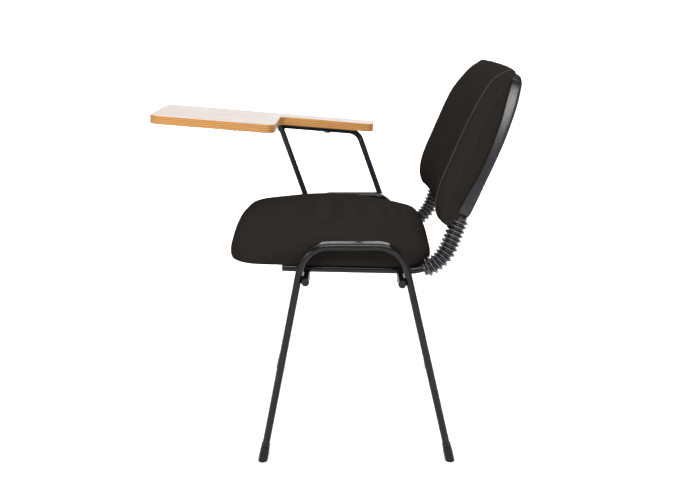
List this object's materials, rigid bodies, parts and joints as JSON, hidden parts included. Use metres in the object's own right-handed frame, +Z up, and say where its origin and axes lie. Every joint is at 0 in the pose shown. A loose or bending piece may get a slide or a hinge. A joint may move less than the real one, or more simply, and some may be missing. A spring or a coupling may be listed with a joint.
{
  "type": "tablet-arm chair",
  "caption": "Black stacking conference chair with padded seat and back, corrugated sleeves behind the seat, and a pale writing tablet on the sitter's right.",
  "frame": {"origin": "on the floor, below the middle of the chair's bounding box", "axes": "+Z up, -Y towards the front of the chair, +X towards the sitter's left"},
  "size_m": [0.5874, 0.7989, 0.8096],
  "materials": {
    "frame_paint": "gloss",
    "arm_paint": "satin",
    "cap_plastic": "satin",
    "ferrule_plastic": "satin",
    "sleeve_rubber": "satin",
    "shell_plastic": "gloss",
    "seat_fabric": "matte",
    "board_wood": "matte",
    "underside_cover": "matte",
    "tablet_laminate": "satin",
    "tablet_core_board": "matte",
    "tablet_edge_wood": "satin",
    "zinc_steel": "satin",
    "black_fastener": "satin"
  },
  "bodies": {
    "root": {"arm_bolts": "black_fastener", "arm_spacers": "cap_plastic", "arm_threaded_inserts": "zinc_steel", "back_board": "board_wood", "back_bolts": "zinc_steel", "back_cushion": "seat_fabric", "back_shell": "shell_plastic", "back_shell_clips": "cap_plastic", "back_support_left": "frame_paint", "back_support_right": "frame_paint", "back_tee_nuts": "zinc_steel", "bellows_left": "sleeve_rubber", "bellows_right": "sleeve_rubber", "cross_tube_front": "frame_paint", "cross_tube_plug_front": "cap_plastic", "cross_tube_plug_rear": "cap_plastic", "cross_tube_rear": "frame_paint", "foot_ferrule_front_left": "ferrule_plastic", "foot_ferrule_front_right": "ferrule_plastic", "foot_ferrule_rear_left": "ferrule_plastic", "foot_ferrule_rear_right": "ferrule_plastic", "frame_welds": "frame_paint", "seat_board": "board_wood", "seat_bolt_saddles": "cap_plastic", "seat_bolts": "black_fastener", "seat_cushion": "seat_fabric", "seat_tee_nuts": "zinc_steel", "seat_underside_cover": "underside_cover", "side_frame_left": "frame_paint", "side_frame_right": "frame_paint", "support_plug_left": "cap_plastic", "support_plug_right": "cap_plastic", "tablet_arm_plugs": "cap_plastic", "tablet_arm_tube": "arm_paint", "tablet_arm_weld": "arm_paint", "tablet_bottom_laminate": "tablet_laminate", "tablet_core": "tablet_core_board", "tablet_edge_lipping": "tablet_edge_wood", "tablet_front_rod": "arm_paint", "tablet_screw_washers": "zinc_steel", "tablet_screws": "zinc_steel", "tablet_top_laminate": "tablet_laminate"}
  },
  "joints": []
}
